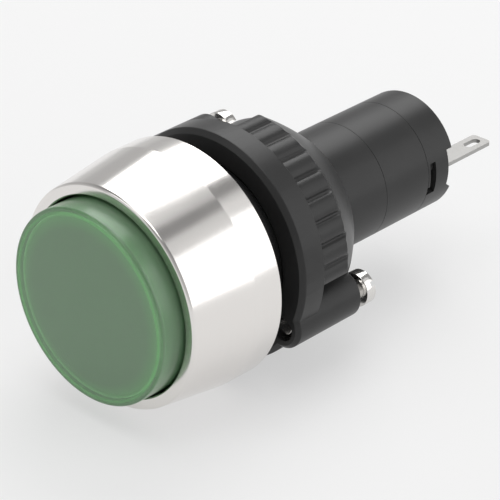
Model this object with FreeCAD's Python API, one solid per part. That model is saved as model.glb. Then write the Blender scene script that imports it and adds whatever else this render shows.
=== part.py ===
import FreeCAD, Part
import math
import os

from FreeCAD import Vector

# Panel pilot light for a 22.3 mm panel hole. All sizes in millimetres.
# Y runs along the lamp axis, from the lens (minus) to the terminals (plus).
# Y = 0 is the rear face of the bezel, which sits against the panel. Z is up.
# Angles are measured about the axis from X towards Z.

# Fits and gaps
LENS_FIT = 0.06          # lens skirt over the spigot, radial
THREAD_FIT = 0.08        # fixing ring over the neck, radial
SCREW_FIT = 0.05         # clamp screw in its boss, radial
LAMP_FIT = 0.07          # lamp cap in the bayonet shell, radial
PLUNGER_FIT = 0.06       # plunger flange in its guide, radial
BUTTON_FIT = 0.10        # plunger button in the lip of its guide, radial
PIN_FIT = 0.08           # bayonet pin in its slot, each side
SEAT_FIT = 0.05          # fixed pieces one inside another, radial
BLADE_FIT = 0.06         # terminal in its slot, each side
PANEL_FIT = 0.10         # neck in the panel hole, radial
LENS_GAP = 0.29          # lens to the bezel mouth, radial

# Panel and bezel
PANEL_HOLE_D = 22.3
PANEL_SPACE = 3.96       # bezel to fixing ring, as fitted here
BEZEL_R = 14.75
BEZEL_BAND_DROP = 0.02   # slight taper of the band, on the radius
BEZEL_BAND = 3.85
BEZEL_TAPER = 1.17       # front edge inside the widest radius
BEZEL_LENGTH = 12.79
BEZEL_EDGE = 0.42
BEZEL_LAND = 1.41        # flat front face, from bore to edge
BEZEL_FLOOR = 1.6
BEZEL_MOUTH = 0.15
GASKET_RIM = 0.95        # bezel metal outside the gasket groove
GASKET_LAND = 0.2        # bezel metal inside the gasket groove
GASKET_T = 0.6

# Housing in front of the panel
HEAD_T = 4.4
SPIGOT_LENGTH = 6.0
SPIGOT_CHAMFER = 0.3
SPIGOT_WALL = 1.17
REFLECTOR_RIM_T = 2.0
REFLECTOR_WALL = 0.6
REFLECTOR_RIM_W = 0.6
REFLECTOR_THROAT_R = 6.5
REFLECTOR_SINK = 0.2     # rim below the end of the spigot
REFLECTOR_TUBE = 2.0
REFLECTOR_LEAD = 0.4     # slope inside the rim

# Housing behind the panel
NECK_R = PANEL_HOLE_D / 2 - PANEL_FIT
COLLAR_STEP = 0.2        # centring collar above the neck, inside the bezel
THREAD_DROP = 0.2        # thread below the neck, so that the ring clears the seat
NECK_PLAIN = 3.5         # smooth part that the panel sits on
RELIEF_W = 0.6
RELIEF_DEPTH = 0.45
NECK_END = 10.4
TAPER_LENGTH = 3.8
TAPER_ROUND = 0.8
BARREL_R = 7.56
BARREL_WALL = 1.21
HOUSING_END = 26.17
BORE_TAPER_LEAD = 0.4     # inner taper starts and ends ahead of the outer one

# Lens, diffuser and seal
LENS_PROUD = 3.11
LENS_WALL = 0.9
LENS_SKIRT = 0.85        # wall of the skirt around the spigot
LENS_EDGE = 0.25
SEAL_T = 0.6
SEAL_GAP = 0.13          # seal to the spigot, radial
SEAL_W = 0.9
DIFFUSER_T = 0.9
DIFFUSER_GAP = 0.09
DIFFUSER_CHAMFER = 0.3

# Fixing ring
RING_WALL = 3.35         # from the bore to the outer radius
RING_LIP = 0.5
RING_LIP_IN = 0.62
RING_FLANGE = 3.56
RING_SHOULDER_Y = 11.9
RING_EDGE = 0.35
RING_SHOULDER_DROP = 0.38
RING_REAR_GAP = 2.54     # rear edge to the barrel, radial
RING_REAR_WALL = 1.5
RING_BORE_END = 13.8
RING_END = 17.33
RING_RECESS_WALL = 0.97   # from the bore to the floor beside the bosses
GROOVE_COUNT = 8          # on each side of the ring
GROOVE_FIRST = 2.9
GROOVE_PITCH = 11.25
PAD_END = 8.75            # from the outer groove to the end of the pads
GROOVE_FLOOR = 0.5
GROOVE_TOP = 1.1
GROOVE_DEPTH = 0.5

# Clamp bosses and screws
BOSS_ANGLES = {"clamp_screw_lower": -31.3, "clamp_screw_upper": 148.7}
BOSS_R = 3.1
BOSS_INSET = 1.98        # boss axis inside the ring's outer radius
BOSS_END = 14.8
BOSS_MOUTH_R = 1.5
BOSS_MOUTH = 0.4
SCREW_INSET = 1.33       # screw axis inside the ring's outer radius
SHANK_R = 1.25
SHANK_TIP = 4.9
SHANK_CHAMFER = 0.35
SCREW_HEAD_R = 2.15
SCREW_HEAD_T = 1.5
SCREW_HEAD_GAP = 1.59
SCREW_SLOT_W = 0.64
SCREW_SLOT_DEPTH = 0.65
SCREW_SLOT_ANGLE = 30.0
SCREW_EDGE = 0.12

# Lamp socket
SOCKET_END = 33.89
SOCKET_FRONT = 20.5
SOCKET_REAR_STEP = 1.71
CAP_SIDE_WALL = 0.81
SOCKET_WALL = 0.68       # around the room for the lamp pins
SHELL_T = 0.4
SHELL_FRONT = 21.5
SHELL_END = 33.3
PIN_ROOM = 0.5           # free ring outside the shell for the lamp pins
PIN_ROOM_END = 28.2
TWIST = 28.0

# Lamp
LAMP_LENGTH = 28.0
LAMP_CAP_T = 0.3
LAMP_CAP_LENGTH = 9.8
PIN_R = 0.8
PIN_PROUD = 0.73         # pin end outside the shell's bore
PIN_Y = 26.9
INSULATOR_R = 3.4
INSULATOR_T = 0.7
TIP_R = 1.6
TIP_T = 0.6
GLASS_STEP = 0.4         # bulb wider than its neck
GLASS_T = 0.45
GLASS_SHOULDER = 19.5
GLASS_END = 24.2
STEM_TIP_R = 1.5
STEM_TIP_Y = 18.0
STEM_FLARE = 1.6
STEM_FOOT = 0.6
SUPPORT_R = 0.15
SUPPORT_X = 1.0
FILAMENT_Y = 10.0
FILAMENT_R = 0.12

# Spring contact
SEAT_LIP = 0.35
BUTTON_R = 1.5
BUTTON_PROUD = 0.6
PLUNGER_FLANGE_R = 2.1
PLUNGER_FLANGE_T = 0.45
PLUNGER_STEM_R = 1.1
PLUNGER_STEM = 0.7
SPRING_R = 1.6
WIRE_R = 0.15
SPRING_TURNS = 3

# Terminals and rear cap
CAP_WALL_Y = 36.4
CAP_WALL_T = 1.23
CAP_END = 38.67
RIM_WALL = 0.86
TAB_W = 2.8
TAB_INSET = 0.05         # outer edge of the tab inside the cap's bore
TAB_T = 0.5
TAB_END = 46.95
TAB_CORNER = 0.5
TAB_HOLE_W = 1.2
TAB_HOLE_L = 2.6
TAB_HOLE_Y = 44.9
FOOT_T = 0.5
FOOT_W = 2.4
FOOT_INSET = 0.2         # foot's outer end inside the cap's bore
FOOT_L = 2.85
PAD_R = 1.9
STRIP_T = 0.5
STRIP_Y = 30.5
WINDOW_FROM = -17.0
WINDOW_TO = 14.5
WINDOW_ENTRY_TO = -9.0
WINDOW_Y0 = 34.25
WINDOW_Y1 = 35.3
RIM_NOTCH_FROM = -17.0
RIM_NOTCH_TO = 20.0
RIM_NOTCH_FLARE = 6.0
LUG_FROM = 7.0
LUG_TO = 13.5
LUG_H = 0.35

# Sizes that follow from the ones above
BEZEL_BAND_R = BEZEL_R - BEZEL_BAND_DROP
BEZEL_FRONT_R = BEZEL_R - BEZEL_TAPER
BEZEL_BORE_R = BEZEL_FRONT_R - BEZEL_LAND
COLLAR_R = NECK_R + COLLAR_STEP
THREAD_R = NECK_R - THREAD_DROP
BEZEL_HOLE_R = COLLAR_R + SEAT_FIT
GASKET_IN_R = BEZEL_HOLE_R + GASKET_LAND
GASKET_OUT_R = BEZEL_R - GASKET_RIM
LENS_R = BEZEL_BORE_R - LENS_GAP
LENS_BORE_R = LENS_R - LENS_SKIRT
SPIGOT_R = LENS_BORE_R - LENS_FIT
HEAD_BORE_R = SPIGOT_R - SPIGOT_WALL
REFLECTOR_MOUTH_R = HEAD_BORE_R - REFLECTOR_RIM_W
NECK_BORE_R = REFLECTOR_MOUTH_R + 2 * SEAT_FIT
TAPER_END = NECK_END + TAPER_LENGTH
BORE_TAPER_START = NECK_END - BORE_TAPER_LEAD
BORE_TAPER_END = TAPER_END - 1.5 * BORE_TAPER_LEAD
BARREL_BORE_R = BARREL_R - BARREL_WALL
CAP_BORE_R = BARREL_R - CAP_SIDE_WALL
RIM_IN_R = BARREL_R - RIM_WALL
HEAD_FRONT = -(BEZEL_FLOOR + HEAD_T)
SPIGOT_FRONT = HEAD_FRONT - SPIGOT_LENGTH
LENS_FRONT = -(BEZEL_LENGTH + LENS_PROUD)
LENS_REAR = HEAD_FRONT - SEAL_T
SEAL_IN_R = SPIGOT_R + SEAL_GAP
SEAL_OUT_R = SEAL_IN_R + SEAL_W
DIFFUSER_R = LENS_BORE_R - DIFFUSER_GAP
DIFFUSER_FRONT = LENS_FRONT + LENS_WALL
RIM_FRONT = SPIGOT_FRONT + REFLECTOR_SINK
RIM_REAR = RIM_FRONT + REFLECTOR_RIM_T
RING_FRONT = PANEL_SPACE
RING_BORE_R = THREAD_R + THREAD_FIT
RING_R = RING_BORE_R + RING_WALL
RING_SHOULDER_R = RING_R - RING_SHOULDER_DROP
RING_REAR_R = BARREL_R + RING_REAR_GAP
RING_REAR_BORE_R = RING_REAR_R - RING_REAR_WALL
RING_RECESS_R = RING_BORE_R + RING_RECESS_WALL
GROOVE_START = RING_FRONT + RING_FLANGE
PADS_FROM = GROOVE_FIRST - PAD_END
PADS_TO = GROOVE_FIRST + (GROOVE_COUNT - 1) * GROOVE_PITCH + PAD_END
BOSS_AXIS_R = RING_R - BOSS_INSET
SCREW_AXIS_R = RING_R - SCREW_INSET
HEAD_Y = BOSS_END + SCREW_HEAD_GAP
SOCKET_SPIGOT_R = BARREL_BORE_R - SEAT_FIT
PIN_ROOM_R = SOCKET_SPIGOT_R - SOCKET_WALL
SHELL_OUT_R = PIN_ROOM_R - PIN_ROOM
SHELL_IN_R = SHELL_OUT_R - SHELL_T
PIN_REACH_R = SHELL_IN_R + PIN_PROUD
LAMP_CAP_R = SHELL_IN_R - LAMP_FIT
LAMP_TIP_Y = SHELL_END - BUTTON_PROUD
INSULATOR_Y = LAMP_TIP_Y - TIP_T - INSULATOR_T
LAMP_CAP_FRONT = INSULATOR_Y - LAMP_CAP_LENGTH
GLASS_NECK_R = LAMP_CAP_R - LAMP_CAP_T
GLASS_R = GLASS_NECK_R + GLASS_STEP
GLASS_FRONT = LAMP_TIP_Y - LAMP_LENGTH
SEAT_FRONT = SHELL_END
SEAT_REAR = CAP_WALL_Y - FOOT_T
GUIDE_R = PLUNGER_FLANGE_R + PLUNGER_FIT
FLANGE_Y = SEAT_FRONT + SEAT_LIP
SPRING_Y = FLANGE_Y + PLUNGER_FLANGE_T
SOCKET_REAR = SOCKET_END + SOCKET_REAR_STEP
CAP_WALL_END = CAP_WALL_Y + CAP_WALL_T
TAB_X1 = CAP_BORE_R - TAB_INSET
TAB_X0 = TAB_X1 - TAB_W
FOOT_X1 = CAP_BORE_R - FOOT_INSET
FOOT_X0 = FOOT_X1 - FOOT_L

BIG = 60.0
ORIGIN = Vector(0, 0, 0)
AXIS = Vector(0, 1, 0)


def unit(a, b):
    """Direction in the section plane from point a to point b."""
    step = Vector(b[0] - a[0], b[1] - a[1], 0)
    return step.normalize()


def turned(points):
    """Solid of revolution from (radius, y) corners; a third value rounds its corner."""
    corners = []
    count = len(points)
    for i, point in enumerate(points):
        here = Vector(point[0], point[1], 0)
        if len(point) < 3:
            corners.append((here, None, here))
            continue
        back = unit(point, points[i - 1])
        ahead = unit(point, points[(i + 1) % count])
        half = back.getAngle(ahead) / 2
        reach = point[2] / math.tan(half)
        inward = (back + ahead).normalize()
        middle = here + inward * (point[2] / math.sin(half) - point[2])
        corners.append((here + back * reach, middle, here + ahead * reach))
    edges = []
    for i, (start, middle, end) in enumerate(corners):
        if middle is not None:
            edges.append(Part.Arc(start, middle, end).toShape())
        following = corners[(i + 1) % count][0]
        if end.distanceToPoint(following) > 1e-6:
            edges.append(Part.makeLine(end, following))
    face = Part.Face(Part.Wire(edges))
    return face.revolve(ORIGIN, AXIS, 360)


def tube(inner, outer, y0, y1):
    """Plain ring about the axis."""
    return turned([(inner, y0), (outer, y0), (outer, y1), (inner, y1)])


def rod(radius, y0, y1, x=0.0, z=0.0):
    """Cylinder along Y."""
    return Part.makeCylinder(radius, y1 - y0, Vector(x, y0, z), AXIS)


def box(x0, x1, y0, y1, z0, z1):
    """Block between two corners."""
    return Part.makeBox(x1 - x0, y1 - y0, z1 - z0, Vector(x0, y0, z0))


def spun(shape, degrees):
    """Copy turned about the axis, from X towards Z."""
    copy = shape.copy()
    copy.rotate(ORIGIN, Vector(0, -1, 0), degrees)
    return copy


def polar(radius, degrees, y=0.0):
    """Point at a radius and angle about the axis."""
    angle = math.radians(degrees)
    return Vector(radius * math.cos(angle), y, radius * math.sin(angle))


def prism(points, y0, y1):
    """Flat outline of points, carried along Y from y0 to y1."""
    loop = [Vector(p.x, y0, p.z) for p in points]
    face = Part.Face(Part.makePolygon(loop + [loop[0]]))
    return face.extrude(Vector(0, y1 - y0, 0))


def sector(r0, r1, start, end, y0, y1):
    """Piece of a ring between two angles."""
    ring = face_ring(r0, r1, y0, end - start)
    return spun(ring.extrude(Vector(0, y1 - y0, 0)), start)


def face_ring(r0, r1, y, sweep):
    """Flat ring sector that starts at X and opens towards Z."""
    line = Part.makeLine(Vector(r0, y, 0), Vector(r1, y, 0))
    return line.revolve(Vector(0, y, 0), Vector(0, -1, 0), sweep)


def bezel():
    """Polished front ring with its panel gasket groove."""
    body = turned([
        (BEZEL_HOLE_R, 0.0),
        (BEZEL_R, 0.0),
        (BEZEL_BAND_R, -BEZEL_BAND),
        (BEZEL_FRONT_R, -BEZEL_LENGTH, BEZEL_EDGE),
        (BEZEL_BORE_R + BEZEL_MOUTH, -BEZEL_LENGTH),
        (BEZEL_BORE_R, -BEZEL_LENGTH + BEZEL_MOUTH),
        (BEZEL_BORE_R, -BEZEL_FLOOR),
        (BEZEL_HOLE_R, -BEZEL_FLOOR),
    ])
    return body.cut(tube(GASKET_IN_R, GASKET_OUT_R, -GASKET_T, BIG))


def panel_gasket():
    """Flat rubber ring between bezel and panel."""
    return tube(GASKET_IN_R, GASKET_OUT_R, -GASKET_T, 0.0)


def front_housing():
    """Body from the lens spigot, through the panel, to the socket seam."""
    return turned([
        (HEAD_BORE_R, SPIGOT_FRONT),
        (SPIGOT_R - SPIGOT_CHAMFER, SPIGOT_FRONT),
        (SPIGOT_R, SPIGOT_FRONT + SPIGOT_CHAMFER),
        (SPIGOT_R, HEAD_FRONT),
        (BEZEL_BORE_R - SEAT_FIT, HEAD_FRONT),
        (BEZEL_BORE_R - SEAT_FIT, -BEZEL_FLOOR),
        (COLLAR_R, -BEZEL_FLOOR),
        (COLLAR_R, 0.0),
        (NECK_R, 0.0),
        (NECK_R, NECK_PLAIN),
        (NECK_R - RELIEF_DEPTH, NECK_PLAIN),
        (NECK_R - RELIEF_DEPTH, NECK_PLAIN + RELIEF_W),
        (THREAD_R, NECK_PLAIN + RELIEF_W),
        (THREAD_R, NECK_END),
        (BARREL_R, TAPER_END, TAPER_ROUND),
        (BARREL_R, HOUSING_END),
        (BARREL_BORE_R, HOUSING_END),
        (BARREL_BORE_R, BORE_TAPER_END),
        (NECK_BORE_R, BORE_TAPER_START),
        (NECK_BORE_R, RIM_REAR),
        (HEAD_BORE_R, RIM_REAR),
    ])


def reflector():
    """White cone that throws the light forward."""
    throat_in = REFLECTOR_THROAT_R - REFLECTOR_WALL
    mouth_in = REFLECTOR_MOUTH_R - REFLECTOR_WALL
    return turned([
        (mouth_in + REFLECTOR_LEAD, RIM_FRONT),
        (HEAD_BORE_R - SEAT_FIT, RIM_FRONT),
        (HEAD_BORE_R - SEAT_FIT, RIM_REAR),
        (REFLECTOR_MOUTH_R, RIM_REAR),
        (REFLECTOR_THROAT_R, 0.0),
        (REFLECTOR_THROAT_R, REFLECTOR_TUBE),
        (throat_in, REFLECTOR_TUBE),
        (throat_in, 0.0),
    ])


def lens():
    """Green cap that covers the front of the light."""
    return turned([
        (0.0, LENS_FRONT),
        (LENS_R, LENS_FRONT, LENS_EDGE),
        (LENS_R, LENS_REAR),
        (LENS_BORE_R, LENS_REAR),
        (LENS_BORE_R, DIFFUSER_FRONT),
        (0.0, DIFFUSER_FRONT),
    ])


def diffuser():
    """Opal disc behind the front of the lens."""
    return turned([
        (0.0, DIFFUSER_FRONT),
        (DIFFUSER_R - DIFFUSER_CHAMFER, DIFFUSER_FRONT),
        (DIFFUSER_R, DIFFUSER_FRONT + DIFFUSER_CHAMFER),
        (DIFFUSER_R, DIFFUSER_FRONT + DIFFUSER_T),
        (0.0, DIFFUSER_FRONT + DIFFUSER_T),
    ])


def lens_seal():
    """Rubber ring under the lens skirt."""
    return tube(SEAL_IN_R, SEAL_OUT_R, LENS_REAR, HEAD_FRONT)


def ring_groove():
    """Cutter for one grip groove, at X."""
    floor = RING_R - GROOVE_DEPTH
    over = RING_R + GROOVE_DEPTH
    flank = GROOVE_TOP - GROOVE_FLOOR
    outline = [
        Vector(floor, 0, -GROOVE_FLOOR / 2),
        Vector(over, 0, -GROOVE_FLOOR / 2 - flank),
        Vector(over, 0, GROOVE_FLOOR / 2 + flank),
        Vector(floor, 0, GROOVE_FLOOR / 2),
    ]
    return prism(outline, GROOVE_START, RING_END)


def fixing_ring():
    """Black ring nut with two rows of grip pads and a clamp boss between them on each side."""
    body = turned([
        (RING_BORE_R, RING_FRONT),
        (RING_R - RING_LIP_IN, RING_FRONT),
        (RING_R, RING_FRONT + RING_LIP),
        (RING_R, RING_SHOULDER_Y - RING_EDGE),
        (RING_SHOULDER_R, RING_SHOULDER_Y),
        (RING_REAR_R, RING_END),
        (RING_REAR_BORE_R, RING_END),
        (RING_BORE_R, RING_BORE_END),
    ])
    cutters = [sector(RING_RECESS_R, BIG, PADS_TO, PADS_FROM + 180, GROOVE_START, BIG)]
    for i in range(GROOVE_COUNT):
        cutters.append(spun(ring_groove(), GROOVE_FIRST + i * GROOVE_PITCH))
    cutter = Part.makeCompound(cutters)
    body = body.cut([cutter, spun(cutter, 180)])
    for angle in BOSS_ANGLES.values():
        centre = polar(BOSS_AXIS_R, angle)
        boss = rod(BOSS_R, RING_FRONT, BOSS_END, centre.x, centre.z)
        front = [e for e in boss.Edges if abs(e.BoundBox.YMax - RING_FRONT) < 1e-6]
        boss = boss.makeChamfer(RING_LIP, front)
        body = body.fuse(boss.cut(rod(RING_BORE_R, 0, BIG)))
    for angle in BOSS_ANGLES.values():
        screw = polar(SCREW_AXIS_R, angle)
        body = body.cut(rod(SHANK_R + SCREW_FIT, 0, BIG, screw.x, screw.z))
        body = body.cut(rod(BOSS_MOUTH_R, 0, RING_FRONT + BOSS_MOUTH, screw.x, screw.z))
    return body.removeSplitter()


def clamp_screw(name):
    """Cheese-head screw that presses on the back of the panel."""
    head_end = HEAD_Y + SCREW_HEAD_T
    screw = turned([
        (0.0, SHANK_TIP),
        (SHANK_R - SHANK_CHAMFER, SHANK_TIP),
        (SHANK_R, SHANK_TIP + SHANK_CHAMFER),
        (SHANK_R, HEAD_Y),
        (SCREW_HEAD_R, HEAD_Y),
        (SCREW_HEAD_R, head_end, SCREW_EDGE),
        (0.0, head_end),
    ])
    half = SCREW_SLOT_W / 2
    slot = box(-BIG, BIG, head_end - SCREW_SLOT_DEPTH, BIG, -half, half)
    screw = screw.cut(spun(slot, SCREW_SLOT_ANGLE))
    screw.translate(polar(SCREW_AXIS_R, BOSS_ANGLES[name]))
    return screw


def socket_body():
    """Black middle piece that holds the bayonet shell."""
    body = turned([
        (PIN_ROOM_R, SOCKET_FRONT),
        (SOCKET_SPIGOT_R, SOCKET_FRONT),
        (SOCKET_SPIGOT_R, HOUSING_END),
        (BARREL_R, HOUSING_END),
        (BARREL_R, SOCKET_END),
        (CAP_BORE_R - SEAT_FIT, SOCKET_END),
        (CAP_BORE_R - SEAT_FIT, SOCKET_REAR),
        (SHELL_OUT_R, SOCKET_REAR),
        (SHELL_OUT_R, PIN_ROOM_END),
        (PIN_ROOM_R, PIN_ROOM_END),
    ])
    width = FOOT_W / 2 + BLADE_FIT
    reach = SHELL_OUT_R + STRIP_T + BLADE_FIT
    body = body.cut(box(0, reach, STRIP_Y - BLADE_FIT, BIG, -width, width))
    for turn in (0, 180):
        lug = sector(CAP_BORE_R - SEAT_FIT - 0.1, CAP_BORE_R + LUG_H, LUG_FROM, LUG_TO,
                     WINDOW_Y0 + BLADE_FIT, WINDOW_Y1 - BLADE_FIT)
        body = body.fuse(spun(lug, turn))
    return body.removeSplitter()


def bayonet_shell():
    """Brass sleeve with two hooked slots for the lamp pins."""
    shell = tube(SHELL_IN_R, SHELL_OUT_R, SHELL_FRONT, SHELL_END)
    width = PIN_R + PIN_FIT
    for turn in (0, 180):
        half = math.degrees(math.asin(width / SHELL_OUT_R))
        hook = sector(SHELL_IN_R - 1, SHELL_OUT_R + 1, 0, TWIST, PIN_Y - width, PIN_Y + width)
        entry = sector(SHELL_IN_R - 1, SHELL_OUT_R + 1, TWIST - half, TWIST + half, 0, PIN_Y)
        ends = [spun(pin_hole(width), a) for a in (0, TWIST)]
        for cutter in [hook, entry] + ends:
            shell = shell.cut(spun(cutter, turn))
    return shell.removeSplitter()


def pin_hole(radius):
    """Round cutter at the height of the lamp pins, along X."""
    return Part.makeCylinder(radius, PIN_REACH_R + 1, Vector(SHELL_IN_R - 1, PIN_Y, 0),
                             Vector(1, 0, 0))


def spring_seat():
    """Insulating disc that guides the spring contact."""
    body = tube(GUIDE_R, SHELL_OUT_R, SEAT_FRONT, SEAT_REAR)
    lip = tube(BUTTON_R + BUTTON_FIT, GUIDE_R + 0.5, SEAT_FRONT, FLANGE_Y)
    return body.fuse(lip).removeSplitter()


def contact_plunger():
    """Brass button that touches the tip of the lamp."""
    return turned([
        (0.0, LAMP_TIP_Y),
        (BUTTON_R, LAMP_TIP_Y, 0.15),
        (BUTTON_R, FLANGE_Y),
        (PLUNGER_FLANGE_R, FLANGE_Y),
        (PLUNGER_FLANGE_R, SPRING_Y),
        (PLUNGER_STEM_R, SPRING_Y),
        (PLUNGER_STEM_R, SPRING_Y + PLUNGER_STEM),
        (0.0, SPRING_Y + PLUNGER_STEM),
    ])


def wire_section():
    """Eight-sided section of the spring wire, closed."""
    points = []
    for i in range(9):
        angle = math.radians(45 * i + 22.5)
        points.append(Vector(SPRING_R + WIRE_R * math.cos(angle), 0, WIRE_R * math.sin(angle)))
    return points


def contact_spring():
    """Steel coil behind the contact button."""
    height = SEAT_REAR - SPRING_Y - 2 * WIRE_R
    helix = Part.makeHelix(height / SPRING_TURNS, height, SPRING_R)
    profile = Part.makePolygon(wire_section())
    coil = Part.Wire(helix).makePipeShell([profile], True, True)
    coil.rotate(ORIGIN, Vector(1, 0, 0), -90)
    coil.translate(Vector(0, SPRING_Y + WIRE_R, 0))
    return coil


def terminal_cap():
    """Black rear cap with bayonet windows and a notched rim."""
    body = turned([
        (CAP_BORE_R, SOCKET_END),
        (BARREL_R, SOCKET_END),
        (BARREL_R, CAP_END),
        (RIM_IN_R, CAP_END),
        (RIM_IN_R, CAP_WALL_END),
        (0.0, CAP_WALL_END),
        (0.0, CAP_WALL_Y),
        (CAP_BORE_R, CAP_WALL_Y),
    ])
    low = CAP_BORE_R - 1
    high = BARREL_R + 1
    window = sector(low, high, WINDOW_FROM, WINDOW_TO, WINDOW_Y0, WINDOW_Y1)
    entry = sector(low, high, WINDOW_FROM, WINDOW_ENTRY_TO, SOCKET_END - 1, WINDOW_Y1)
    notch = sector(low - 1, high, RIM_NOTCH_FROM, RIM_NOTCH_TO, CAP_WALL_END, BIG)
    flare = rim_flare(low - 1, high)
    blade = box(TAB_X0 - BLADE_FIT, TAB_X1 + BLADE_FIT, 0, BIG,
                -TAB_T / 2 - BLADE_FIT, TAB_T / 2 + BLADE_FIT)
    for turn in (0, 180):
        for cutter in (window, entry, notch, flare):
            body = body.cut(spun(cutter, turn))
        body = body.cut(spun(blade, turn).cut(rod(BIG, 0, CAP_WALL_Y - 0.5)))
    return body.removeSplitter()


def rim_flare(r0, r1):
    """Wedge that slopes the lower end of the rim notch."""
    rise = CAP_END - CAP_WALL_END
    run = math.radians(RIM_NOTCH_FLARE) * BARREL_R
    wedge = Part.Face(Part.makePolygon([
        Vector(r0, CAP_WALL_END, 0),
        Vector(r0, CAP_END + 1, -run * (rise + 1) / rise),
        Vector(r0, CAP_END + 1, 0),
        Vector(r0, CAP_WALL_END, 0),
    ]))
    return spun(wedge.extrude(Vector(r1 - r0, 0, 0)), RIM_NOTCH_FROM + 1.0)


def tab():
    """Flat solder tab with an eye, at X."""
    blade = box(TAB_X0, TAB_X1, CAP_WALL_Y, TAB_END, -TAB_T / 2, TAB_T / 2)
    corners = [e for e in blade.Edges
               if e.BoundBox.YMin > TAB_END - 1e-6 and e.BoundBox.XLength < 1e-6]
    blade = blade.makeFillet(TAB_CORNER, corners)
    middle = (TAB_X0 + TAB_X1) / 2
    half = (TAB_HOLE_L - TAB_HOLE_W) / 2
    slot = box(middle - TAB_HOLE_W / 2, middle + TAB_HOLE_W / 2,
               TAB_HOLE_Y - half, TAB_HOLE_Y + half, -1, 1)
    for y in (TAB_HOLE_Y - half, TAB_HOLE_Y + half):
        slot = slot.fuse(Part.makeCylinder(TAB_HOLE_W / 2, 2, Vector(middle, y, -1)))
    return blade.cut(slot)


def terminal_shell():
    """Terminal whose strip runs forward to the bayonet shell."""
    half = FOOT_W / 2
    foot = box(FOOT_X0, FOOT_X1, SEAT_REAR, CAP_WALL_Y, -half, half)
    strip = box(SHELL_OUT_R - 0.3, SHELL_OUT_R + STRIP_T, STRIP_Y, SEAT_REAR, -half, half)
    strip = strip.cut(rod(SHELL_OUT_R, 0, BIG))
    return foot.fuse([strip, tab()]).removeSplitter()


def terminal_centre():
    """Terminal whose foot reaches the spring on the axis."""
    half = FOOT_W / 2
    foot = box(-FOOT_X1, 0, SEAT_REAR, CAP_WALL_Y, -half, half)
    pad = rod(PAD_R, SEAT_REAR, CAP_WALL_Y)
    return foot.fuse([pad, spun(tab(), 180)]).removeSplitter()


def lamp_cap():
    """Thin metal base of the lamp, with two pins."""
    inside = LAMP_CAP_R - LAMP_CAP_T
    cap = turned([
        (inside, LAMP_CAP_FRONT),
        (LAMP_CAP_R, LAMP_CAP_FRONT),
        (LAMP_CAP_R, INSULATOR_Y, 0.3),
        (INSULATOR_R, INSULATOR_Y),
        (INSULATOR_R, INSULATOR_Y - LAMP_CAP_T),
        (inside, INSULATOR_Y - LAMP_CAP_T),
    ])
    for side in (1, -1):
        pin = Part.makeCylinder(PIN_R, PIN_REACH_R - inside - 0.1,
                                Vector(side * (inside + 0.1), PIN_Y, 0), Vector(side, 0, 0))
        cap = cap.fuse(pin)
    return cap.removeSplitter()


def lamp_insulator():
    """Glass plug in the end of the lamp base."""
    return turned([
        (0.0, INSULATOR_Y - LAMP_CAP_T),
        (INSULATOR_R, INSULATOR_Y - LAMP_CAP_T),
        (INSULATOR_R, INSULATOR_Y),
        (TIP_R, INSULATOR_Y + INSULATOR_T),
        (0.0, INSULATOR_Y + INSULATOR_T),
    ])


def lamp_tip():
    """Solder contact at the end of the lamp."""
    return turned([
        (0.0, LAMP_TIP_Y - TIP_T),
        (TIP_R, LAMP_TIP_Y - TIP_T),
        (TIP_R, LAMP_TIP_Y, 0.35),
        (0.0, LAMP_TIP_Y),
    ])


def glass_profile(inset):
    """Corners of one wall of the bulb, from the nose to the open end."""
    radius = GLASS_R - inset
    nose = GLASS_FRONT + inset
    dome = []
    for i in range(1, 6):
        angle = math.radians(i * 18)
        dome.append((radius * math.sin(angle), nose + radius * (1 - math.cos(angle))))
    neck = GLASS_NECK_R - inset
    return [(0.0, nose)] + dome + [
        (radius, GLASS_SHOULDER),
        (neck, LAMP_CAP_FRONT - 0.3),
        (neck, GLASS_END),
    ]


def lamp_glass():
    """Clear tubular bulb with a round nose."""
    inner = glass_profile(GLASS_T)
    return turned(glass_profile(0.0) + inner[::-1])


def lamp_stem():
    """Glass foot that closes the bulb and carries the wires."""
    foot = GLASS_NECK_R - GLASS_T
    return turned([
        (0.0, STEM_TIP_Y),
        (STEM_TIP_R, STEM_TIP_Y),
        (STEM_TIP_R, GLASS_END - STEM_FOOT - STEM_FLARE),
        (foot, GLASS_END - STEM_FOOT),
        (foot, GLASS_END),
        (0.0, GLASS_END),
    ])


def lamp_filament():
    """Two support wires with the filament across them."""
    wire = Part.makeCylinder(FILAMENT_R, 2 * SUPPORT_X, Vector(-SUPPORT_X, FILAMENT_Y, 0),
                             Vector(1, 0, 0))
    for x in (-SUPPORT_X, SUPPORT_X):
        wire = wire.fuse(rod(SUPPORT_R, FILAMENT_Y - 2 * FILAMENT_R, STEM_TIP_Y, x))
    return wire.removeSplitter()


def main():
    """Build every piece and write its STEP file."""
    os.makedirs("parts", exist_ok=True)
    pieces = {
        "bezel": bezel(),
        "front_housing": front_housing(),
        "panel_gasket": panel_gasket(),
        "reflector": reflector(),
        "lens": lens(),
        "diffuser": diffuser(),
        "lens_seal": lens_seal(),
        "fixing_ring": fixing_ring(),
        "clamp_screw_upper": clamp_screw("clamp_screw_upper"),
        "clamp_screw_lower": clamp_screw("clamp_screw_lower"),
        "socket_body": socket_body(),
        "bayonet_shell": bayonet_shell(),
        "spring_seat": spring_seat(),
        "contact_plunger": contact_plunger(),
        "contact_spring": contact_spring(),
        "terminal_cap": terminal_cap(),
        "terminal_centre": terminal_centre(),
        "terminal_shell": terminal_shell(),
        "lamp_cap": lamp_cap(),
        "lamp_glass": lamp_glass(),
        "lamp_insulator": lamp_insulator(),
        "lamp_tip": lamp_tip(),
        "lamp_stem": lamp_stem(),
        "lamp_filament": lamp_filament(),
    }
    for name, shape in pieces.items():
        print(name, shape.isValid(), len(shape.Solids), round(shape.Volume, 3))
        shape.exportStep("parts/" + name + ".step")


main()
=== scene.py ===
import math

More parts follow.
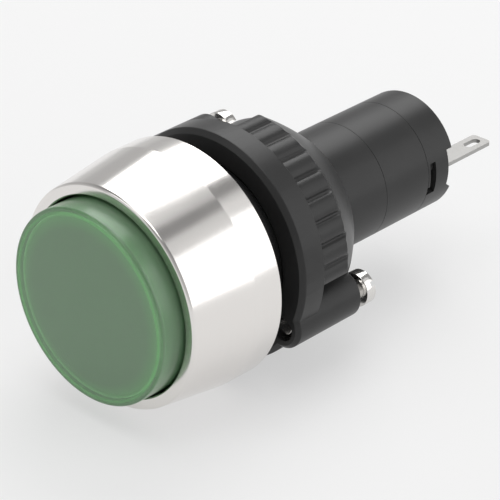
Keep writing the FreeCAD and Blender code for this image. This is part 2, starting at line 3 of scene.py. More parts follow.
import bmesh
import bpy
from mathutils import Matrix, Vector


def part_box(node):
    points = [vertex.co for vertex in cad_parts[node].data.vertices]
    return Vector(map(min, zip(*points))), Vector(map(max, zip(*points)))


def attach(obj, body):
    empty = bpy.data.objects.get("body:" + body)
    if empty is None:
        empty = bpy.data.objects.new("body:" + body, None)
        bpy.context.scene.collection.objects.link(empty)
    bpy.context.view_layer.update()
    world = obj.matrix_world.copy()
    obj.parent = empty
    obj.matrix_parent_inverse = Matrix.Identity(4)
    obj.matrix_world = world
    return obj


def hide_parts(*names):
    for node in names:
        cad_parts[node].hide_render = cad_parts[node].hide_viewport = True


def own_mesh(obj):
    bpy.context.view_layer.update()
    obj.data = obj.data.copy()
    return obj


bl_info = {
    "name": "Panel Pilot Light",
    "version": (1, 0, 0),
    "blender": (4, 5, 0),
    "location": "View3D > Sidebar > Pilot Light",
    "description": "Builds a panel pilot light over its CAD frame, piece by piece",
    "category": "Object",
}

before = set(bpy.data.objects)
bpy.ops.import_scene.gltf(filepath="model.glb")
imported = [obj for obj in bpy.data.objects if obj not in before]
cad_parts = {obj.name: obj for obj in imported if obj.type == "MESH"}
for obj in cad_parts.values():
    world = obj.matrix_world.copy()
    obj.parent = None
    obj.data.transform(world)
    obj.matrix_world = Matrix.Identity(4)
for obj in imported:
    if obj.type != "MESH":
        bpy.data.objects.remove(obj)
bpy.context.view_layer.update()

# One millimetre in scene units. Profiles and positions are written in millimetres.
MM = 0.001

# Places along the lamp axis where one piece meets another, from front to rear.
LENS_REAR = -6.6
HEAD_FRONT = -6.0
HEAD_REAR = -1.6
GASKET_FRONT = -0.6
PANEL_FACE = 0.0
HOUSING_END = 26.17
SOCKET_END = 33.89

# Radii that several pieces share.
GASKET_INNER = 11.5
GASKET_OUTER = 13.8
BARREL_RADIUS = 7.56

# The clamp screws and their bosses: angle about the lamp axis in degrees from X towards Z,
# and how far a screw's axis lies inside the outer radius of the fixing ring.
SCREW_ANGLES = {"lower": -31.3, "upper": 148.7}
SCREW_INSET = 1.33

# Corners sharper than this many degrees keep a crisp edge in the shading.
SHARP_ANGLE = 32.0


def mm(length):
    """Length in millimetres from a property that is kept in metres."""
    return length / MM


def linear(hex_colour):
    """Linear colour from an sRGB hex value such as c8c6c3."""
    channels = []
    for start in (0, 2, 4):
        value = int(hex_colour[start:start + 2], 16) / 255
        if value <= 0.04045:
            channels.append(value / 12.92)
        else:
            channels.append(((value + 0.055) / 1.055) ** 2.4)
    return tuple(channels)


def rgba(colour):
    """Colour with a full alpha, as a shader socket takes it."""
    return (colour[0], colour[1], colour[2], 1.0)


class PilotLightSizes(bpy.types.PropertyGroup):
    """Sizes of the pilot light that a user may change."""

    bezel_radius: bpy.props.FloatProperty(
        name="Bezel radius",
        description="Widest radius of the polished front ring",
        default=14.75 * MM,
        min=13.0 * MM,
        unit="LENGTH",
        subtype="DISTANCE",
    )
    bezel_length: bpy.props.FloatProperty(
        name="Bezel length",
        description="From the panel to the front edge of the bezel",
        default=12.79 * MM,
        min=8.0 * MM,
        unit="LENGTH",
        subtype="DISTANCE",
    )
    lens_proud: bpy.props.FloatProperty(
        name="Lens height",
        description="How far the lens stands out of the bezel",
        default=3.11 * MM,
        min=0.0,
        unit="LENGTH",
        subtype="DISTANCE",
    )
    ring_radius: bpy.props.FloatProperty(
        name="Fixing ring radius",
        description="Outer radius of the fixing ring",
        default=14.28 * MM,
        min=13.0 * MM,
        unit="LENGTH",
        subtype="DISTANCE",
    )
    groove_count: bpy.props.IntProperty(
        name="Grip grooves",
        description="Grooves on each side of the fixing ring, between the two bosses",
        default=8,
        min=2,
        max=20,
    )
    groove_depth: bpy.props.FloatProperty(
        name="Groove depth",
        description="Depth of a grip groove in the fixing ring",
        default=0.5 * MM,
        min=0.05 * MM,
        max=0.9 * MM,
        unit="LENGTH",
        subtype="DISTANCE",
    )
    thread_pitch: bpy.props.FloatProperty(
        name="Neck thread pitch",
        description="Pitch of the thread that the fixing ring runs on",
        default=1.0 * MM,
        min=0.5 * MM,
        unit="LENGTH",
        subtype="DISTANCE",
    )
    screw_pitch: bpy.props.FloatProperty(
        name="Clamp screw pitch",
        description="Pitch of the thread on the clamp screws",
        default=0.45 * MM,
        min=0.2 * MM,
        unit="LENGTH",
        subtype="DISTANCE",
    )
    slot_angle: bpy.props.FloatProperty(
        name="Screw slot angle",
        description="Direction of the slot in the head of the clamp screws",
        default=math.radians(30.0),
        unit="ROTATION",
        subtype="ANGLE",
    )
    floor_drop: bpy.props.FloatProperty(
        name="Floor height",
        description="How far the floor lies below the lamp axis",
        default=-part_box("bezel")[0].z,
        min=0.0,
        unit="LENGTH",
        subtype="DISTANCE",
    )


class PilotLightColours(bpy.types.PropertyGroup):
    """Colours of the pilot light that a user may change."""

    # Only the brightest ring painted into the lens rim, a painted glow, takes this colour; the
    # lens material lists its other colours.
    lens: bpy.props.FloatVectorProperty(
        name="Lens",
        description="Colour of the translucent lens",
        default=linear("aafaaa"),
        size=3,
        min=0.0,
        max=1.0,
        subtype="COLOR",
    )
    body: bpy.props.FloatVectorProperty(
        name="Body",
        description="Colour of the moulded black parts",
        default=linear("2e2e2e"),
        size=3,
        min=0.0,
        max=1.0,
        subtype="COLOR",
    )
    bezel: bpy.props.FloatVectorProperty(
        name="Bezel",
        description="Colour of the polished front ring",
        default=linear("e9e6e3"),
        size=3,
        min=0.0,
        max=1.0,
        subtype="COLOR",
    )
    terminals: bpy.props.FloatVectorProperty(
        name="Terminals",
        description="Colour of the tinned solder tabs",
        default=linear("adacaa"),
        size=3,
        min=0.0,
        max=1.0,
        subtype="COLOR",
    )
    floor: bpy.props.FloatVectorProperty(
        name="Floor",
        description="Colour of the floor and backdrop",
        default=linear("f0f0f0"),
        size=3,
        min=0.0,
        max=1.0,
        subtype="COLOR",
    )


def sizes():
    """Size settings of the current scene."""
    return bpy.context.scene.pilot_light_sizes


def colours():
    """Colour settings of the current scene."""
    return bpy.context.scene.pilot_light_colours


# Materials


def add(tree, kind, settings=None, links=None):
    """Add one node, set its sockets and properties, and link its inputs."""
    made = tree.nodes.new(kind)
    for key, value in (settings or {}).items():
        if isinstance(key, int) or key in made.inputs:
            made.inputs[key].default_value = value
        else:
            setattr(made, key, value)
    for key, source in (links or {}).items():
        tree.links.new(source, made.inputs[key])
    return made


def start_material(name, values):
    """New material with its Principled shader set to the given constants."""
    material = bpy.data.materials.new(name)
    material.use_nodes = True
    shader = material.node_tree.nodes["Principled BSDF"]
    for key, value in values.items():
        shader.inputs[key].default_value = value
    return material, material.node_tree, shader


def grain(tree, size_mm, detail=3.0, vector=None):
    """Even noise over a surface, whose features are about this many millimetres."""
    if vector is None:
        vector = add(tree, "ShaderNodeTexCoord").outputs["Object"]
    settings = {"Scale": 1.0 / (size_mm * MM), "Detail": detail, "Roughness": 0.55}
    return add(tree, "ShaderNodeTexNoise", settings, {"Vector": vector}).outputs["Fac"]


def turning(tree):
    """Coordinates that only change across the tool's path on a turned piece."""
    place = add(tree, "ShaderNodeTexCoord").outputs["Object"]
    split = add(tree, "ShaderNodeSeparateXYZ", None, {0: place})
    flat = add(tree, "ShaderNodeCombineXYZ", None,
               {"X": split.outputs["X"], "Z": split.outputs["Z"]})
    radius = add(tree, "ShaderNodeVectorMath", {"operation": "LENGTH"}, {0: flat.outputs[0]})
    joined = add(tree, "ShaderNodeCombineXYZ", None,
                 {"X": radius.outputs["Value"], "Y": split.outputs["Y"]})
    return joined.outputs[0]


def roughen(tree, shader, value, swing):
    """Vary the roughness by a pattern, this far to either side of its constant."""
    middle = shader.inputs["Roughness"].default_value
    limits = {"To Min": middle - swing, "To Max": middle + swing}
    made = add(tree, "ShaderNodeMapRange", limits, {"Value": value})
    tree.links.new(made.outputs["Result"], shader.inputs["Roughness"])


def emboss(tree, shader, value, depth_mm, strength):
    """Bump the surface by a pattern of the given depth."""
    bump = add(tree, "ShaderNodeBump", {"Distance": depth_mm * MM, "Strength": strength},
               {"Height": value})
    tree.links.new(bump.outputs["Normal"], shader.inputs["Normal"])


def set_stops(ramp, stops):
    """Give a colour ramp its stops, each a position and a linear colour."""
    elements = ramp.color_ramp.elements
    for stop in stops[1:-1]:
        elements.new(stop[0])
    for element, (position, colour) in zip(elements, stops):
        element.position = position
        element.color = rgba(colour)


def tint(tree, shader, value, dark, light):
    """Vary the base colour between two near tones."""
    ramp = add(tree, "ShaderNodeValToRGB", None, {"Fac": value})
    set_stops(ramp, ((0.3, dark), (0.7, light)))
    tree.links.new(ramp.outputs["Color"], shader.inputs["Base Color"])


def scaled(colour, factor):
    """Colour made darker or lighter by a factor."""
    return tuple(min(1.0, c * factor) for c in colour)


def polished_aluminium():
    """Aluminium, turned and then mirror polished."""
    # Clean reflections, a little softened by faint polishing lines around the axis. The
    # real lines are some ten times finer, and are drawn this coarse so that they show.
    colour = tuple(colours().bezel)
    material, tree, shader = start_material("polished_aluminium", {
        "Metallic": 1.0,
        "Roughness": 0.17,
    })
    lines = grain(tree, 0.12, 4.0, turning(tree))
    haze = grain(tree, 3.0)
    roughen(tree, shader, haze, 0.02)
    tint(tree, shader, lines, scaled(colour, 0.97), colour)
    emboss(tree, shader, lines, 0.0015, 0.5)
    return material


def moulded_nylon():
    """Nylon, black, injection moulded in a finely eroded tool."""
    # A satin skin: broad soft highlights, broken up by a very fine even texture, drawn
    # a few times coarser than the pits of the tool so that it shows.
    colour = tuple(colours().body)
    material, tree, shader = start_material("moulded_nylon", {
        "IOR": 1.53,
        "Specular IOR Level": 0.26,
        "Roughness": 0.36,
    })
    skin = grain(tree, 0.14, 3.0)
    cloud = grain(tree, 4.0, 2.0)
    tint(tree, shader, cloud, scaled(colour, 0.94), scaled(colour, 1.05))
    roughen(tree, shader, skin, 0.04)
    emboss(tree, shader, skin, 0.006, 0.5)
    return material


def green_acrylic():
    """Acrylic, dyed green, moulded and polished."""
    # Half clear: dim and milky over the disc behind the face, and deeper on the skirt. A
    # brighter green ring near the rim is painted into the base colour, a painted glow where
    # light would run inside the rim. The bands are colours at shares of the ramp's length, from
    # the lamp axis outwards.
    face_roughness = 0.06
    skirt_roughness = 0.25
    face_edge = 11.6
    skirt_start = 11.85
    ramp_end = 12.0
    bands_with_painted_glow = (
        (0.78, linear("a2c4a2")),
        (0.9, linear("a4d8a4")),
        # Brightest band: the painted glow ring in the rim.
        (0.937, tuple(colours().lens)),
        (0.96, linear("a2dca2")),
        (0.9875, linear("99c099")),
    )
    material, tree, shader = start_material("green_acrylic", {
        "IOR": 1.49,
        "Transmission Weight": 0.66,
        "Roughness": face_roughness,
    })
    depth = add(tree, "ShaderNodeVolumeAbsorption", {
        "Color": rgba(linear("5fd865")),
        "Density": 120.0,
    })
    tree.links.new(depth.outputs["Volume"], tree.nodes["Material Output"].inputs["Volume"])
    radius = add(tree, "ShaderNodeSeparateXYZ", None, {0: turning(tree)}).outputs["X"]
    across = add(tree, "ShaderNodeMapRange", {"From Max": ramp_end * MM}, {"Value": radius})
    ramp = add(tree, "ShaderNodeValToRGB", None, {"Fac": across.outputs["Result"]})
    set_stops(ramp, bands_with_painted_glow)
    tree.links.new(ramp.outputs["Color"], shader.inputs["Base Color"])
    skirt = add(tree, "ShaderNodeMapRange", {
        "From Min": face_edge * MM,
        "From Max": skirt_start * MM,
        "To Min": face_roughness,
        "To Max": skirt_roughness,
    }, {"Value": radius})
    tree.links.new(skirt.outputs["Result"], shader.inputs["Roughness"])
    return material


def opal_acrylic():
    """Acrylic, opal white, cast sheet."""
    # Milky and even, so that the lamp behind it doesn't show as a spot.
    material, tree, shader = start_material("opal_acrylic", {
        "IOR": 1.49,
        "Roughness": 0.4,
        "Subsurface Weight": 0.4,
        "Subsurface Radius": (2.0 * MM, 2.0 * MM, 2.0 * MM),
        "Subsurface Scale": 1.0,
    })
    cloud = grain(tree, 2.0, 2.0)
    tint(tree, shader, cloud, linear("b4b8b4"), linear("bcc0bc"))
    return material


def white_abs():
    """ABS, white, moulded with a gloss to reflect the lamp."""
    # Clean white with a soft gloss, brighter than everything around it.
    material, tree, shader = start_material("white_abs", {"IOR": 1.54, "Roughness": 0.26})
    cloud = grain(tree, 3.0, 2.0)
    tint(tree, shader, cloud, linear("e4e3de"), linear("eeede9"))
    roughen(tree, shader, grain(tree, 0.3), 0.06)
    return material


def seal_rubber():
    """Nitrile rubber, black, stamped from sheet."""
    # Nearly matte, with the dusty bloom that rubber gets.
    material, tree, shader = start_material("seal_rubber", {"IOR": 1.52, "Roughness": 0.8})
    bloom = grain(tree, 0.5, 4.0)
    tint(tree, shader, bloom, linear("191919"), linear("232322"))
    roughen(tree, shader, bloom, 0.1)
    emboss(tree, shader, grain(tree, 0.1), 0.01, 0.6)
    return material


def nickel_plated_steel():
    """Steel, turned and bright nickel plated."""
    # Sharp bright bands, with tool marks around the screw's own axis, drawn a few times
    # coarser than the real ones so that they show.
    material, tree, shader = start_material("nickel_plated_steel", {
        "Metallic": 1.0,
        "Roughness": 0.15,
    })
    lines = grain(tree, 0.08, 4.0, turning(tree))
    tint(tree, shader, lines, linear("d6d4d1"), linear("e4e2df"))
    roughen(tree, shader, lines, 0.05)
    emboss(tree, shader, lines, 0.002, 0.5)
    return material


def tinned_brass():
    """Brass strip, stamped and matte tin plated."""
    # Pale even grey with hardly any mirror image.
    colour = tuple(colours().terminals)
    material, tree, shader = start_material("tinned_brass", {
        "Metallic": 0.85,
        "Roughness": 0.5,
    })
    cloud = grain(tree, 0.6, 4.0)
    tint(tree, shader, cloud, scaled(colour, 0.94), scaled(colour, 1.04))
    roughen(tree, shader, cloud, 0.08)
    emboss(tree, shader, grain(tree, 0.08), 0.003, 0.5)
    return material


def drawn_brass():
    """Brass, drawn and left bare."""
    # Warm yellow, with a soft sheen that runs round the piece.
    material, tree, shader = start_material("drawn_brass", {"Metallic": 1.0, "Roughness": 0.3})
    lines = grain(tree, 0.15, 4.0, turning(tree))
    tint(tree, shader, lines, linear("b8954f"), linear("d2b06a"))
    roughen(tree, shader, lines, 0.08)
    return material


def nickel_plated_brass():
    """Brass, deep drawn thin and nickel plated, for the lamp base."""
    # Pale and slightly warm, with a mirror image blurred by rings around the axis.
    material, tree, shader = start_material("nickel_plated_brass", {
        "Metallic": 1.0,
        "Roughness": 0.24,
    })
    lines = grain(tree, 0.2, 3.0, turning(tree))
    tint(tree, shader, lines, linear("c9c6bf"), linear("dad8d2"))
    roughen(tree, shader, lines, 0.06)
    return material


def paper_laminate():
    """Phenolic paper laminate, brown, punched from sheet."""
    # Satin brown, faintly mottled by the fibres of the paper.
    material, tree, shader = start_material("paper_laminate", {"IOR": 1.55, "Roughness": 0.51})
    fibres = grain(tree, 0.3, 5.0)
    tint(tree, shader, fibres, linear("5a3a20"), linear("7a5330"))
    roughen(tree, shader, fibres, 0.09)
    return material


def clear_glass():
    """Soda-lime glass, drawn tube, clear."""
    # Seen by its edges and highlights only.
    material, tree, shader = start_material("clear_glass", {
        "Base Color": rgba(linear("f4f7f5")),
        "IOR": 1.52,
        "Transmission Weight": 1.0,
        "Roughness": 0.03,
    })
    roughen(tree, shader, grain(tree, 2.0), 0.02)
    return material


def black_glass():
    """Vitrite, black glass fused into the lamp base."""
    # Deep black gloss over a slightly uneven surface.
    material, tree, shader = start_material("black_glass", {"IOR": 1.52, "Roughness": 0.1})
    cloud = grain(tree, 0.8, 3.0)
    tint(tree, shader, cloud, linear("0c0c10"), linear("17171c"))
    emboss(tree, shader, cloud, 0.02, 0.4)
    return material


def tin_solder():
    """Tin solder, set as a smooth drop."""
    # Dull silver with cloudy highlights.
    material, tree, shader = start_material("tin_solder", {"Metallic": 1.0, "Roughness": 0.365})
    cloud = grain(tree, 0.5, 4.0)
    tint(tree, shader, cloud, linear("a5a6a8"), linear("bdbec0"))
    roughen(tree, shader, cloud, 0.085)
    return material


def tungsten_wire():
    """Tungsten, drawn to a dark fine wire."""
    # Dark grey with a weak sheen.
    material, tree, shader = start_material("tungsten_wire", {"Metallic": 1.0, "Roughness": 0.4})
    cloud = grain(tree, 0.2, 2.0)
    tint(tree, shader, cloud, linear("74747a"), linear("8c8c92"))
    return material


def spring_wire():
    """Spring steel, cold drawn with a dull sheen."""
    # Mid grey, with one soft highlight along each turn of the coil.
    material, tree, shader = start_material("spring_wire", {"Metallic": 1.0, "Roughness": 0.35})
    cloud = grain(tree, 0.2, 3.0)
    tint(tree, shader, cloud, linear("8a8b8d"), linear("a3a4a6"))
    roughen(tree, shader, cloud, 0.07)
    return material


# The finish for each material slot of the record, and those made so far.
FINISHES = {
    "polished_aluminium": polished_aluminium,
    "black_nylon": moulded_nylon,
    "seal_rubber": seal_rubber,
    "white_abs": white_abs,
    "green_acrylic": green_acrylic,
    "opal_acrylic": opal_acrylic,
    "plated_steel": nickel_plated_steel,
    "spring_steel": spring_wire,
    "brass": drawn_brass,
    "plated_brass": nickel_plated_brass,
    "tinned_brass": tinned_brass,
    "laminate": paper_laminate,
    "bulb_glass": clear_glass,
    "black_glass": black_glass,
    "solder": tin_solder,
    "tungsten": tungsten_wire,
}
MADE = {}


def finish_of(slot):
    """The material for a slot of the record, made on first use."""
    if slot not in MADE:
        MADE[slot] = FINISHES[slot]()
    return MADE[slot]


# Shape helpers


def rounded(profile, steps):
    """Profile points, with a corner rounded where a third value gives its radius."""
    points = []
    count = len(profile)
    for i, corner in enumerate(profile):
        here = Vector(corner[:2])
        if len(corner) < 3:
            points.append(here)
            continue
        back = (Vector(profile[i - 1][:2]) - here).normalized()
        ahead = (Vector(profile[(i + 1) % count][:2]) - here).normalized()
        half = back.angle(ahead) / 2
        reach = corner[2] / math.tan(half)
        centre = here + (back + ahead).normalized() * (corner[2] / math.sin(half))
        first = here + back * reach - centre
        last = here + ahead * reach - centre
        start = math.atan2(first.y, first.x)
        sweep = math.atan2(last.y, last.x) - start
        sweep = (sweep + math.pi) % (2 * math.pi) - math.pi
        for k in range(steps + 1):
            angle = start + sweep * k / steps
            points.append(centre + corner[2] * Vector((math.cos(angle), math.sin(angle))))
    return points


def even_angles(count):
    """Angles in degrees, evenly spaced over one turn."""
    return [360.0 * i / count for i in range(count)]


def turned(profile, angles, steps=4, shape=None):
    """Closed mesh turned about Y; shape(angle, radius, y) may move each radius."""
    on_axis = 1e-6
    mesh = bmesh.new()
    rings = []
    for radius, y in rounded(profile, steps):
        if radius < on_axis:
            rings.append([mesh.verts.new((0.0, y * MM, 0.0))])
            continue
        ring = []
        for angle in angles:
            reach = shape(angle, radius, y) if shape else radius
            turn = math.radians(angle)
            place = (reach * math.cos(turn) * MM, y * MM, reach * math.sin(turn) * MM)
            ring.append(mesh.verts.new(place))
        rings.append(ring)
    count = len(angles)
    for a, b in zip(rings, rings[1:] + rings[:1]):
        if len(a) == 1 and len(b) == 1:
            continue
        for i in range(count):
            j = (i + 1) % count
            corners = [a[i % len(a)], a[j % len(a)], b[j % len(b)], b[i % len(b)]]
            mesh.faces.new(list(dict.fromkeys(corners)))
    bmesh.ops.recalc_face_normals(mesh, faces=mesh.faces)
    return mesh


def to_object(name, mesh):
    """New object that holds a finished bmesh."""
    data = bpy.data.meshes.new(name)
    mesh.to_mesh(data)
    mesh.free()
    made = bpy.data.objects.new(name, data)
    bpy.context.scene.collection.objects.link(made)
    return made


def block(name, low, high):
    """Box cutter between two corners in millimetres."""
    mesh = bmesh.new()
    bmesh.ops.create_cube(mesh, size=1.0)
    low = Vector(low)
    high = Vector(high)
    for vertex in mesh.verts:
        for k in range(3):
            vertex.co[k] = (low[k] if vertex.co[k] < 0 else high[k]) * MM
    return to_object(name, mesh)


def lofted(name, sections):
    """Solid through sections given by their corners in millimetres, closed at both ends."""
    mesh = bmesh.new()
    rows = []
    for section in sections:
        rows.append([mesh.verts.new([value * MM for value in corner]) for corner in section])
    for a, b in zip(rows, rows[1:]):
        for i in range(len(a)):
            j = (i + 1) % len(a)
            mesh.faces.new((a[i], a[j], b[j], b[i]))
    mesh.faces.new(rows[0])
    mesh.faces.new(rows[-1][::-1])
    bmesh.ops.recalc_face_normals(mesh, faces=mesh.faces)
    return to_object(name, mesh)


def ring_sector(name, radii, angles, places, steps=12):
    """Piece of a ring between two radii, two angles in degrees and two places along Y."""
    inner, outer = radii
    start, end = angles
    front, rear = places
    sections = []
    for k in range(steps + 1):
        turn = math.radians(start + (end - start) * k / steps)
        corners = ((inner, front), (outer, front), (outer, rear), (inner, rear))
        sections.append([(r * math.cos(turn), y, r * math.sin(turn)) for r, y in corners])
    return lofted(name, sections)


def spin(piece, degrees):
    """Turn a piece's mesh about the lamp axis, from X towards Z."""
    piece.data.transform(Matrix.Rotation(math.radians(-degrees), 4, "Y"))


def polar(radius, degrees):
    """Place at a radius and angle about the lamp axis, in millimetres."""
    turn = math.radians(degrees)
    return (radius * math.cos(turn), 0.0, radius * math.sin(turn))


def shift(piece, x, y, z):
    """Move a piece's mesh, in millimetres."""
    piece.data.transform(Matrix.Translation(Vector((x, y, z)) * MM))


def combine(piece, others, operation):
    """Cut or join other meshes into a piece, then remove them."""
    for other in others:
        modifier = piece.modifiers.new("combine", "BOOLEAN")
        modifier.operation = operation
        modifier.solver = "EXACT"
        modifier.object = other
    graph = bpy.context.evaluated_depsgraph_get()
    result = bpy.data.meshes.new_from_object(piece.evaluated_get(graph))
    piece.modifiers.clear()
    piece.data = result
    for other in others:
        bpy.data.objects.remove(other)


def coat(piece, slot, sharp=SHARP_ANGLE, weight=50):
    """Give a piece its material and smooth shading that follows its broad faces."""
    piece.data.materials.clear()
    piece.data.materials.append(finish_of(slot))
    for polygon in piece.data.polygons:
        polygon.use_smooth = True
        polygon.material_index = 0
    piece.data.set_sharp_from_angle(angle=math.radians(sharp))
    weighted = piece.modifiers.new("even_normals", "WEIGHTED_NORMAL")
    weighted.keep_sharp = True
    weighted.weight = weight


def dress(piece, slot, body, nodes, sharp=SHARP_ANGLE):
    """Finish a new piece, and set what it rides on and replaces."""
    coat(piece, slot, sharp, weight=60)
    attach(piece, body)
    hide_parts(*nodes)


def keep(node, slot):
    """Give a CAD node its finish, with its shape as it is."""
    coat(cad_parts[node], slot)


def thread(pitch, depth, start, end, fade):
    """Radius change of a right-hand thread between two places, faded in over a length."""
    def cut(angle, y):
        inside = min(y - start, end - y) / fade
        if inside <= 0:
            return 0.0
        turn = (y / pitch + angle / 360.0) % 1.0
        return -depth * min(1.0, inside) * abs(2 * turn - 1)
    return cut


def thread_rows(radius, start, end, pitch):
    """Profile points that carry a thread between two places along the axis."""
    rows_per_turn = 8
    count = int(round((end - start) / pitch * rows_per_turn))
    return [(radius, start + (end - start) * k / count) for k in range(1, count)]


# Pieces, first those on the outside


class PILOT_OT_bezel(bpy.types.Operator):
    """Polished front ring with its gasket groove"""

    bl_idname = "pilot.bezel"
    bl_label = "Bezel"

    def execute(self, context):
        radius = mm(sizes().bezel_radius)
        front = -mm(sizes().bezel_length)
        bore = 11.3
        mouth = 12.17
        chamfer = 0.15
        draft = 0.02
        taper = 1.17
        taper_start = -3.85
        profile = [
            (bore, PANEL_FACE, 0.08),
            (GASKET_INNER, PANEL_FACE, 0.06),
            (GASKET_INNER, GASKET_FRONT),
            (GASKET_OUTER, GASKET_FRONT),
            (GASKET_OUTER, PANEL_FACE, 0.06),
            (radius, PANEL_FACE, 0.18),
            (radius - draft, taper_start, 1.2),
            (radius - taper, front, 0.42),
            (mouth + chamfer, front, 0.05),
            (mouth, front + chamfer, 0.05),
            (mouth, HEAD_REAR),
            (bore, HEAD_REAR, 0.1),
        ]
        piece = to_object("bezel_ring", turned(profile, even_angles(192), 6))
        dress(piece, "polished_aluminium", "housing", ["bezel"])
        return {"FINISHED"}


class PILOT_OT_lens(bpy.types.Operator):
    """Green lens cap and the opal disc behind its face"""

    bl_idname = "pilot.lens"
    bl_label = "Lens"

    def execute(self, context):
        front = -mm(sizes().bezel_length) - mm(sizes().lens_proud)
        inside = front + 0.9
        outer = 11.88
        inner = 11.03
        profile = [
            (0.0, front),
            (outer, front, 0.25),
            (outer, LENS_REAR, 0.15),
            (inner, LENS_REAR, 0.1),
            (inner, inside, 0.2),
            (0.0, inside),
        ]
        cap = to_object("lens_cap", turned(profile, even_angles(192), 6))
        dress(cap, "green_acrylic", "lens_cap", ["lens"])
        disc_radius = 10.94
        disc_front = inside + 0.01
        disc_rear = inside + 0.9
        edge = 0.3
        profile = [
            (0.0, disc_front),
            (disc_radius - edge, disc_front, 0.05),
            (disc_radius, inside + edge, 0.05),
            (disc_radius, disc_rear, 0.08),
            (0.0, disc_rear),
        ]
        disc = to_object("opal_disc", turned(profile, even_angles(128), 3))
        dress(disc, "opal_acrylic", "lens_cap", ["diffuser"])
        return {"FINISHED"}


class PILOT_OT_seals(bpy.types.Operator):
    """Panel gasket and the ring under the lens"""

    bl_idname = "pilot.seals"
    bl_label = "Seals"

    def execute(self, context):
        gasket = [
            (GASKET_INNER, GASKET_FRONT),
            (GASKET_OUTER, GASKET_FRONT),
            (GASKET_OUTER, PANEL_FACE, 0.1),
            (GASKET_INNER, PANEL_FACE, 0.1),
        ]
        inner = 11.1
        outer = 12.0
        seal = [
            (inner, LENS_REAR, 0.12),
            (outer, LENS_REAR, 0.12),
            (outer, HEAD_FRONT),
            (inner, HEAD_FRONT),
        ]
        for node, profile in (("panel_gasket", gasket), ("lens_seal", seal)):
            piece = to_object(node + "_ring", turned(profile, even_angles(128), 3))
            dress(piece, "seal_rubber", "housing", [node])
        return {"FINISHED"}


class PILOT_OT_housing(bpy.types.Operator):
    """Black body with the spigot for the lens and the threaded neck"""

    bl_idname = "pilot.housing"
    bl_label = "Housing"

    def execute(self, context):
        spigot = 10.97
        spigot_front = -12.0
        lead = 0.3
        head = 12.12
        shoulder = 11.25
        neck = 11.05
        neck_end = 3.5
        relief = 10.6
        thread_radius = 10.85
        thread_start = 4.1
        thread_end = 10.4
        barrel_start = 14.2
        mouth = 9.8
        mouth_end = -9.8
        bore = 9.3
        bore_end = 10.0
        rear_bore = 6.35
        rear_bore_start = 13.6
        pitch = mm(sizes().thread_pitch)
        cut = thread(pitch, 0.5, thread_start, thread_end, 0.7)

        def shape(angle, radius, y):
            on_thread = radius > relief and thread_start <= y <= thread_end
            return radius + cut(angle, y) if on_thread else radius

        profile = [
            (mouth, spigot_front, 0.15),
            (spigot - lead, spigot_front, 0.05),
            (spigot, spigot_front + lead, 0.1),
            (spigot, HEAD_FRONT),
            (head, HEAD_FRONT, 0.1),
            (head, HEAD_REAR),
            (shoulder, HEAD_REAR),
            (shoulder, PANEL_FACE, 0.05),
            (neck, PANEL_FACE),
            (neck, neck_end, 0.15),
            (relief, neck_end),
            (relief, thread_start),
            (thread_radius, thread_start),
        ]
        profile += thread_rows(thread_radius, thread_start, thread_end, pitch)
        profile += [
            (thread_radius, thread_end, 0.1),
            (BARREL_RADIUS, barrel_start, 0.8),
            (BARREL_RADIUS, HOUSING_END, 0.07),
            (rear_bore, HOUSING_END, 0.07),
            (rear_bore, rear_bore_start),
            (bore, bore_end),
            (bore, mouth_end),
            (mouth, mouth_end),
        ]
        piece = to_object("housing_body", turned(profile, even_angles(144), 4, shape))
        dress(piece, "black_nylon", "housing", ["front_housing"])
        return {"FINISHED"}


